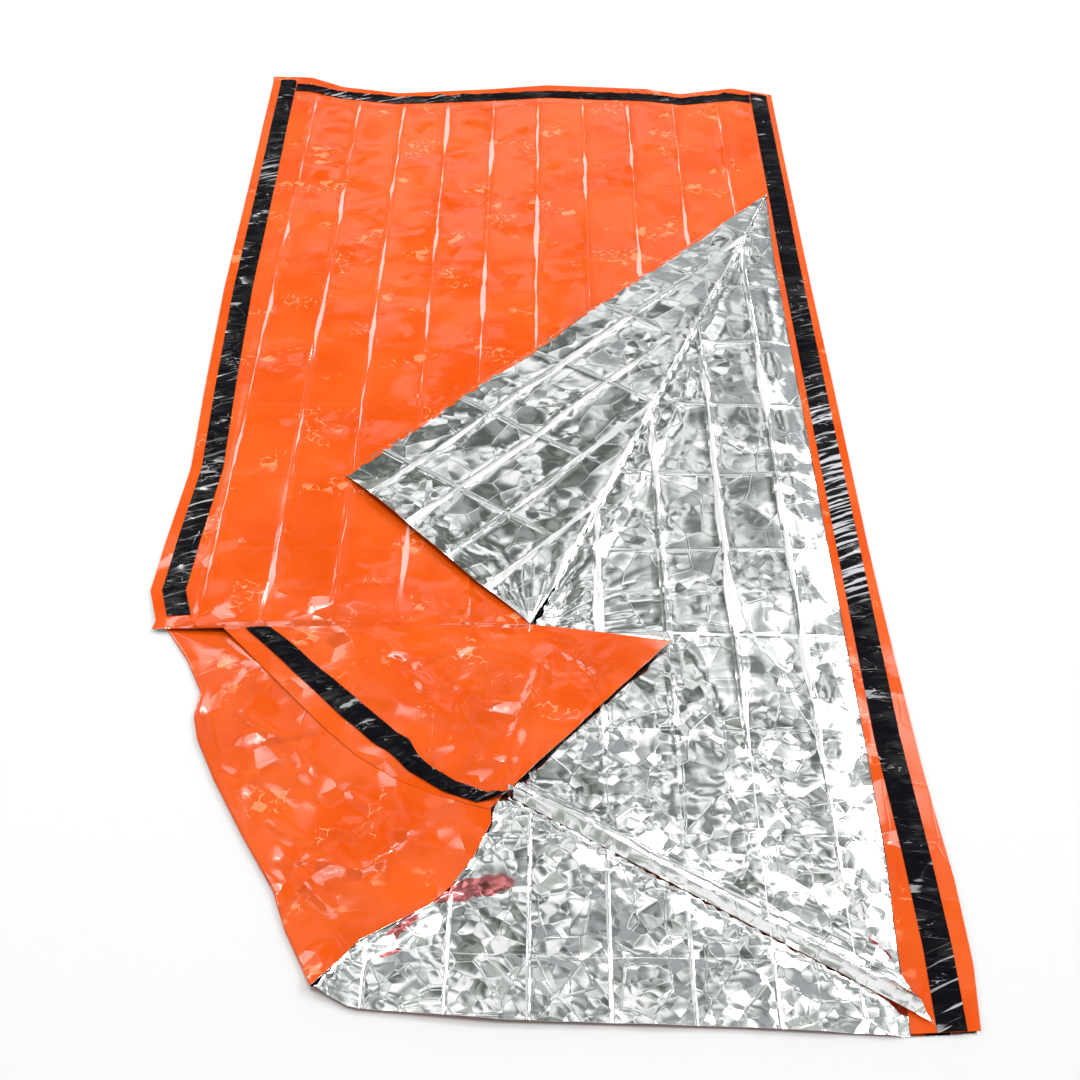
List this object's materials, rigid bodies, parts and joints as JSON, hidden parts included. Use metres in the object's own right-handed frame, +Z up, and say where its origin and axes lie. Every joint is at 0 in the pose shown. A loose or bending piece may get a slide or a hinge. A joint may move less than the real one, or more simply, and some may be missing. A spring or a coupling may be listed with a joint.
{
  "type": "emergency sleeping bag",
  "caption": "Emergency sleeping bag of metallised film, orange outside and silver inside, seamed with black tape and lying open with its front turned back.",
  "frame": {"origin": "under the middle of the bag's box, on the surface it lies on", "axes": "+Y from the mouth to the closed foot, +X across the bag to the right seen from the mouth, +Z up from the surface"},
  "size_m": [0.9584, 2.1754, 0.0146],
  "materials": {
    "orange_film": "glossy orange film with fold creases; the same sheets are silver inside",
    "silver_film": "mirror-bright metallised face, crumpled; the same sheets are orange outside",
    "black_tape": "glossy wrinkled film tape"
  },
  "bodies": {
    "root": {"front_panel": "orange_film", "back_panel": "silver_film", "tape_right": "black_tape", "tape_left": "black_tape", "tape_mouth": "black_tape", "tape_foot": "black_tape"}
  },
  "joints": []
}
